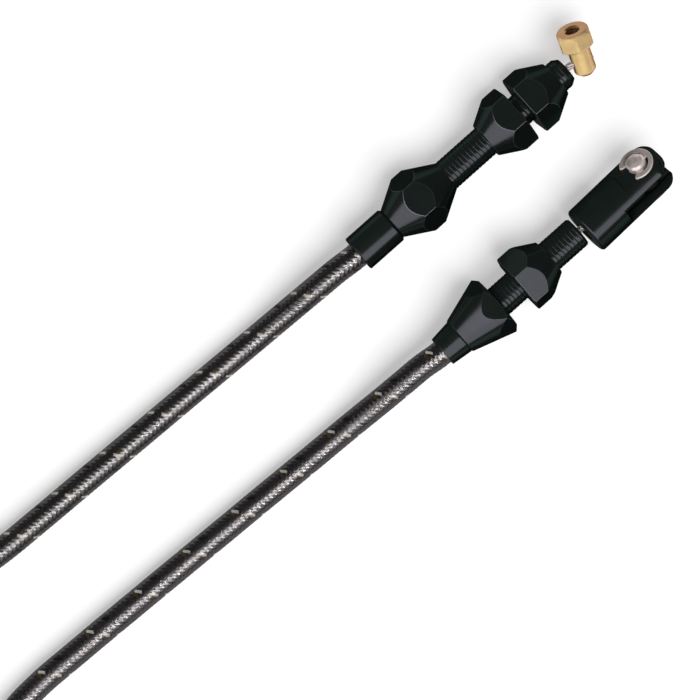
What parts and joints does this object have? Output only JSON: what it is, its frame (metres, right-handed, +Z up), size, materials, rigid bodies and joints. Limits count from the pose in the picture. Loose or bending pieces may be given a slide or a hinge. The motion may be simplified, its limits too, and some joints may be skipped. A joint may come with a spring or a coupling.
{
  "type": "braided control cable",
  "caption": "Braid-sheathed control cable with threaded bulkhead ends, tapered jam nuts, a clevis with clipped pin and a brass wire stop.",
  "frame": {"origin": "on the stop end's axis, in the plane where its rear jam nut's flat face meets the bracket", "axes": "+X along the threaded shanks and out of both ends, +Y from the clevis end to the stop end, +Z up from the table the cable lies on"},
  "size_m": [0.2769, 0.0685, 0.0157],
  "materials": {
    "black_anodised": "black anodised, satin",
    "brass": "turned, bright",
    "bright_steel": "stamped and turned, bright",
    "stranded_wire": "stranded, bright",
    "dark_steel": "blackened",
    "braid": "glossy black braid with pale tracer yarns",
    "nylon": "natural nylon",
    "tie_strap": "woven strap, matte"
  },
  "bodies": {
    "cable": {"sheath_stop_run": "braid", "sheath_coil": "braid", "sheath_clevis_run": "braid", "sheath_liner": "nylon", "inner_wire": "stranded_wire", "coil_tie": "tie_strap", "stop_ferrule": "black_anodised", "stop_body": "black_anodised", "stop_liner": "nylon", "clevis_ferrule": "black_anodised", "clevis_body": "black_anodised", "clevis_liner": "nylon"},
    "rear_nut": {"rear_jam_nut": "black_anodised"},
    "front_nut": {"front_jam_nut": "black_anodised"},
    "clevis_nut": {"clevis_jam_nut": "black_anodised"},
    "stop_end_wire": {"stop_wire": "stranded_wire", "cable_stop": "brass"},
    "grub_screw": {"stop_screw": "dark_steel"},
    "clevis_end_wire": {"clevis_wire": "stranded_wire", "wire_terminal": "bright_steel"},
    "clevis": {"clevis": "black_anodised"},
    "pin": {"clevis_pin": "bright_steel", "pin_clip": "bright_steel"}
  },
  "joints": [
    {"name": "rear_nut_slide", "type": "slide", "parent": "cable", "child": "rear_nut", "axis": [1, 0, 0], "range_m": [-0.0124, 0.001]},
    {"name": "front_nut_slide", "type": "slide", "parent": "cable", "child": "front_nut", "axis": [1, 0, 0], "range_m": [-0.001, 0.0032]},
    {"name": "clevis_nut_slide", "type": "slide", "parent": "cable", "child": "clevis_nut", "axis": [1, 0, 0], "range_m": [-0.0062, 0.0092]},
    {"name": "stop_wire_slide", "type": "slide", "parent": "cable", "child": "stop_end_wire", "axis": [1, 0, 0], "range_m": [-0.0008, 0.0008]},
    {"name": "clevis_wire_slide", "type": "slide", "parent": "cable", "child": "clevis_end_wire", "axis": [1, 0, 0], "range_m": [-0.0008, 0.0008]},
    {"name": "screw_slide", "type": "slide", "parent": "stop_end_wire", "child": "grub_screw", "axis": [0.2629, 0.7936, 0.5487], "range_m": [0, 0.0035]},
    {"name": "clevis_swivel", "type": "hinge", "parent": "clevis_end_wire", "child": "clevis", "pos_m": [-0.0018, -0.0307, 0.00035], "axis": [1, 0, 0], "continuous": true},
    {"name": "pin_turn", "type": "hinge", "parent": "clevis", "child": "pin", "pos_m": [0.01259, -0.03127, 0.00061], "axis": [-0.0077, 0.6158, 0.7879], "continuous": true}
  ],
  "couplings": [
    {"joint": "clevis_wire_slide", "follows": "stop_wire_slide", "ratio": -1}
  ]
}
